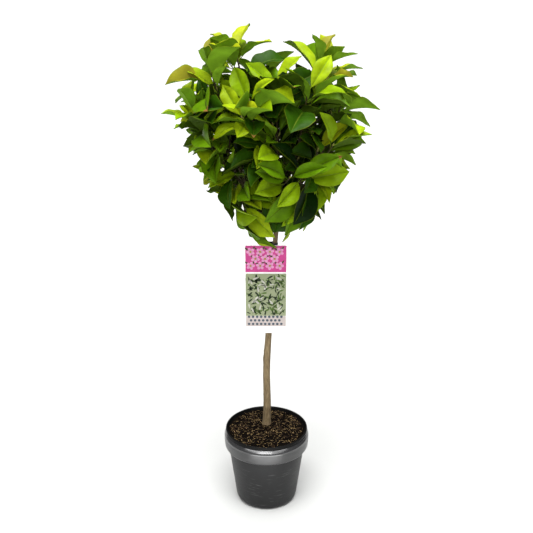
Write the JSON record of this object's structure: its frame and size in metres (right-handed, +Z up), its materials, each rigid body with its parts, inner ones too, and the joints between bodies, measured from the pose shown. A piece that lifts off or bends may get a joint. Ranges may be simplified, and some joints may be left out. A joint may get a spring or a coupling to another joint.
{
  "type": "potted magnolia tree",
  "caption": "Standard magnolia in a round grey planter: a clear leaning stem with a tag strapped to it, under a full head of broad leaves on rising boughs.",
  "frame": {"origin": "middle of the planter's flat underside, on the surface that it stands on", "axes": "+Z up along the planter's axis, -Y towards the front with the tag, +X to the right seen from the front"},
  "size_m": [0.4722, 0.4252, 1.2042],
  "materials": {
    "planter_grey": "satin",
    "nursery_black": "satin",
    "soil": "crumbly",
    "trunk_bark": "bark",
    "bough_bark": "bark",
    "leaf_green": "leaf",
    "tag_white": "smooth",
    "strap_black": "satin"
  },
  "bodies": {
    "root": {"bough_back_left": "bough_bark", "bough_back_low": "bough_bark", "bough_back_right": "bough_bark", "bough_back_top": "bough_bark", "bough_far_left": "bough_bark", "bough_far_right": "bough_bark", "bough_front_left": "bough_bark", "bough_front_low": "bough_bark", "bough_front_skirt": "bough_bark", "bough_left_low": "bough_bark", "bough_left_middle": "bough_bark", "bough_left_skirt": "bough_bark", "bough_right_front": "bough_bark", "bough_right_low": "bough_bark", "bough_right_skirt": "bough_bark", "bough_top_front": "bough_bark", "bough_top_left": "bough_bark", "bough_top_right": "bough_bark", "bough_upper_left": "bough_bark", "bough_upper_right": "bough_bark", "foliage_back_left": "leaf_green", "foliage_back_low": "leaf_green", "foliage_back_right": "leaf_green", "foliage_back_top": "leaf_green", "foliage_far_left": "leaf_green", "foliage_far_right": "leaf_green", "foliage_front_left": "leaf_green", "foliage_front_low": "leaf_green", "foliage_front_skirt": "leaf_green", "foliage_left_low": "leaf_green", "foliage_left_middle": "leaf_green", "foliage_left_skirt": "leaf_green", "foliage_right_front": "leaf_green", "foliage_right_low": "leaf_green", "foliage_right_skirt": "leaf_green", "foliage_top_front": "leaf_green", "foliage_top_left": "leaf_green", "foliage_top_right": "leaf_green", "foliage_upper_left": "leaf_green", "foliage_upper_right": "leaf_green", "nursery_pot": "nursery_black", "planter": "planter_grey", "soil": "soil", "tag_card": "tag_white", "tag_strap": "strap_black", "trunk": "trunk_bark"}
  },
  "joints": []
}
